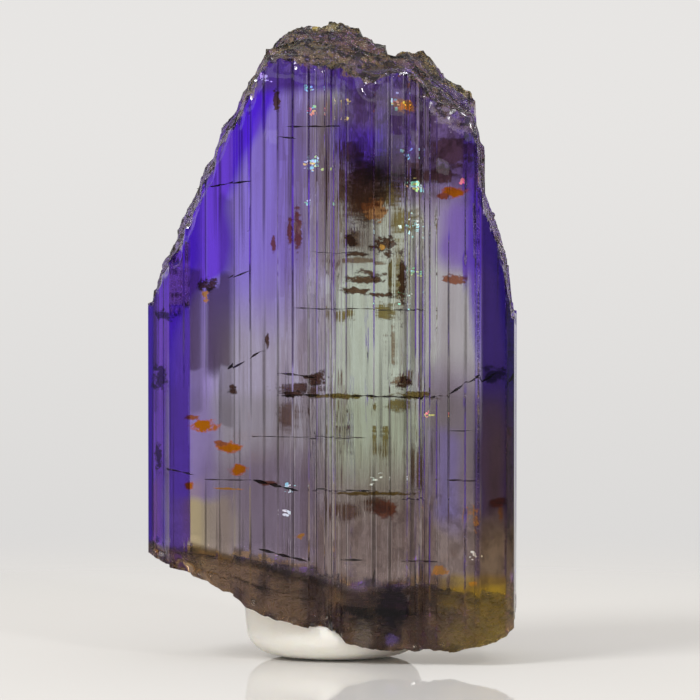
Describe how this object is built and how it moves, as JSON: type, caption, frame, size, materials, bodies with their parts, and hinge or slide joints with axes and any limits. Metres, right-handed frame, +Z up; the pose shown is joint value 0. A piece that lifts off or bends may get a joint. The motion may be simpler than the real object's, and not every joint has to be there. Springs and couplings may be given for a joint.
{
  "type": "tanzanite crystal in a putty pad",
  "caption": "Rough violet tanzanite prism with striated faces and broken ends, standing in a small pad of putty.",
  "frame": {"origin": "on the flat underside of the putty, below the middle of the crystal", "axes": "+Z up along the crystal's length, +X across its broad face, +Y through its thickness towards the back"},
  "size_m": [0.0186, 0.0096, 0.0319],
  "materials": {
    "tanzanite": "clear violet crystal, pale in the middle, brown and rough at the breaks, striated along its length",
    "putty": "matt cream white mounting putty, pressed by hand"
  },
  "bodies": {
    "root": {"crystal": "tanzanite", "putty": "putty"}
  },
  "joints": []
}
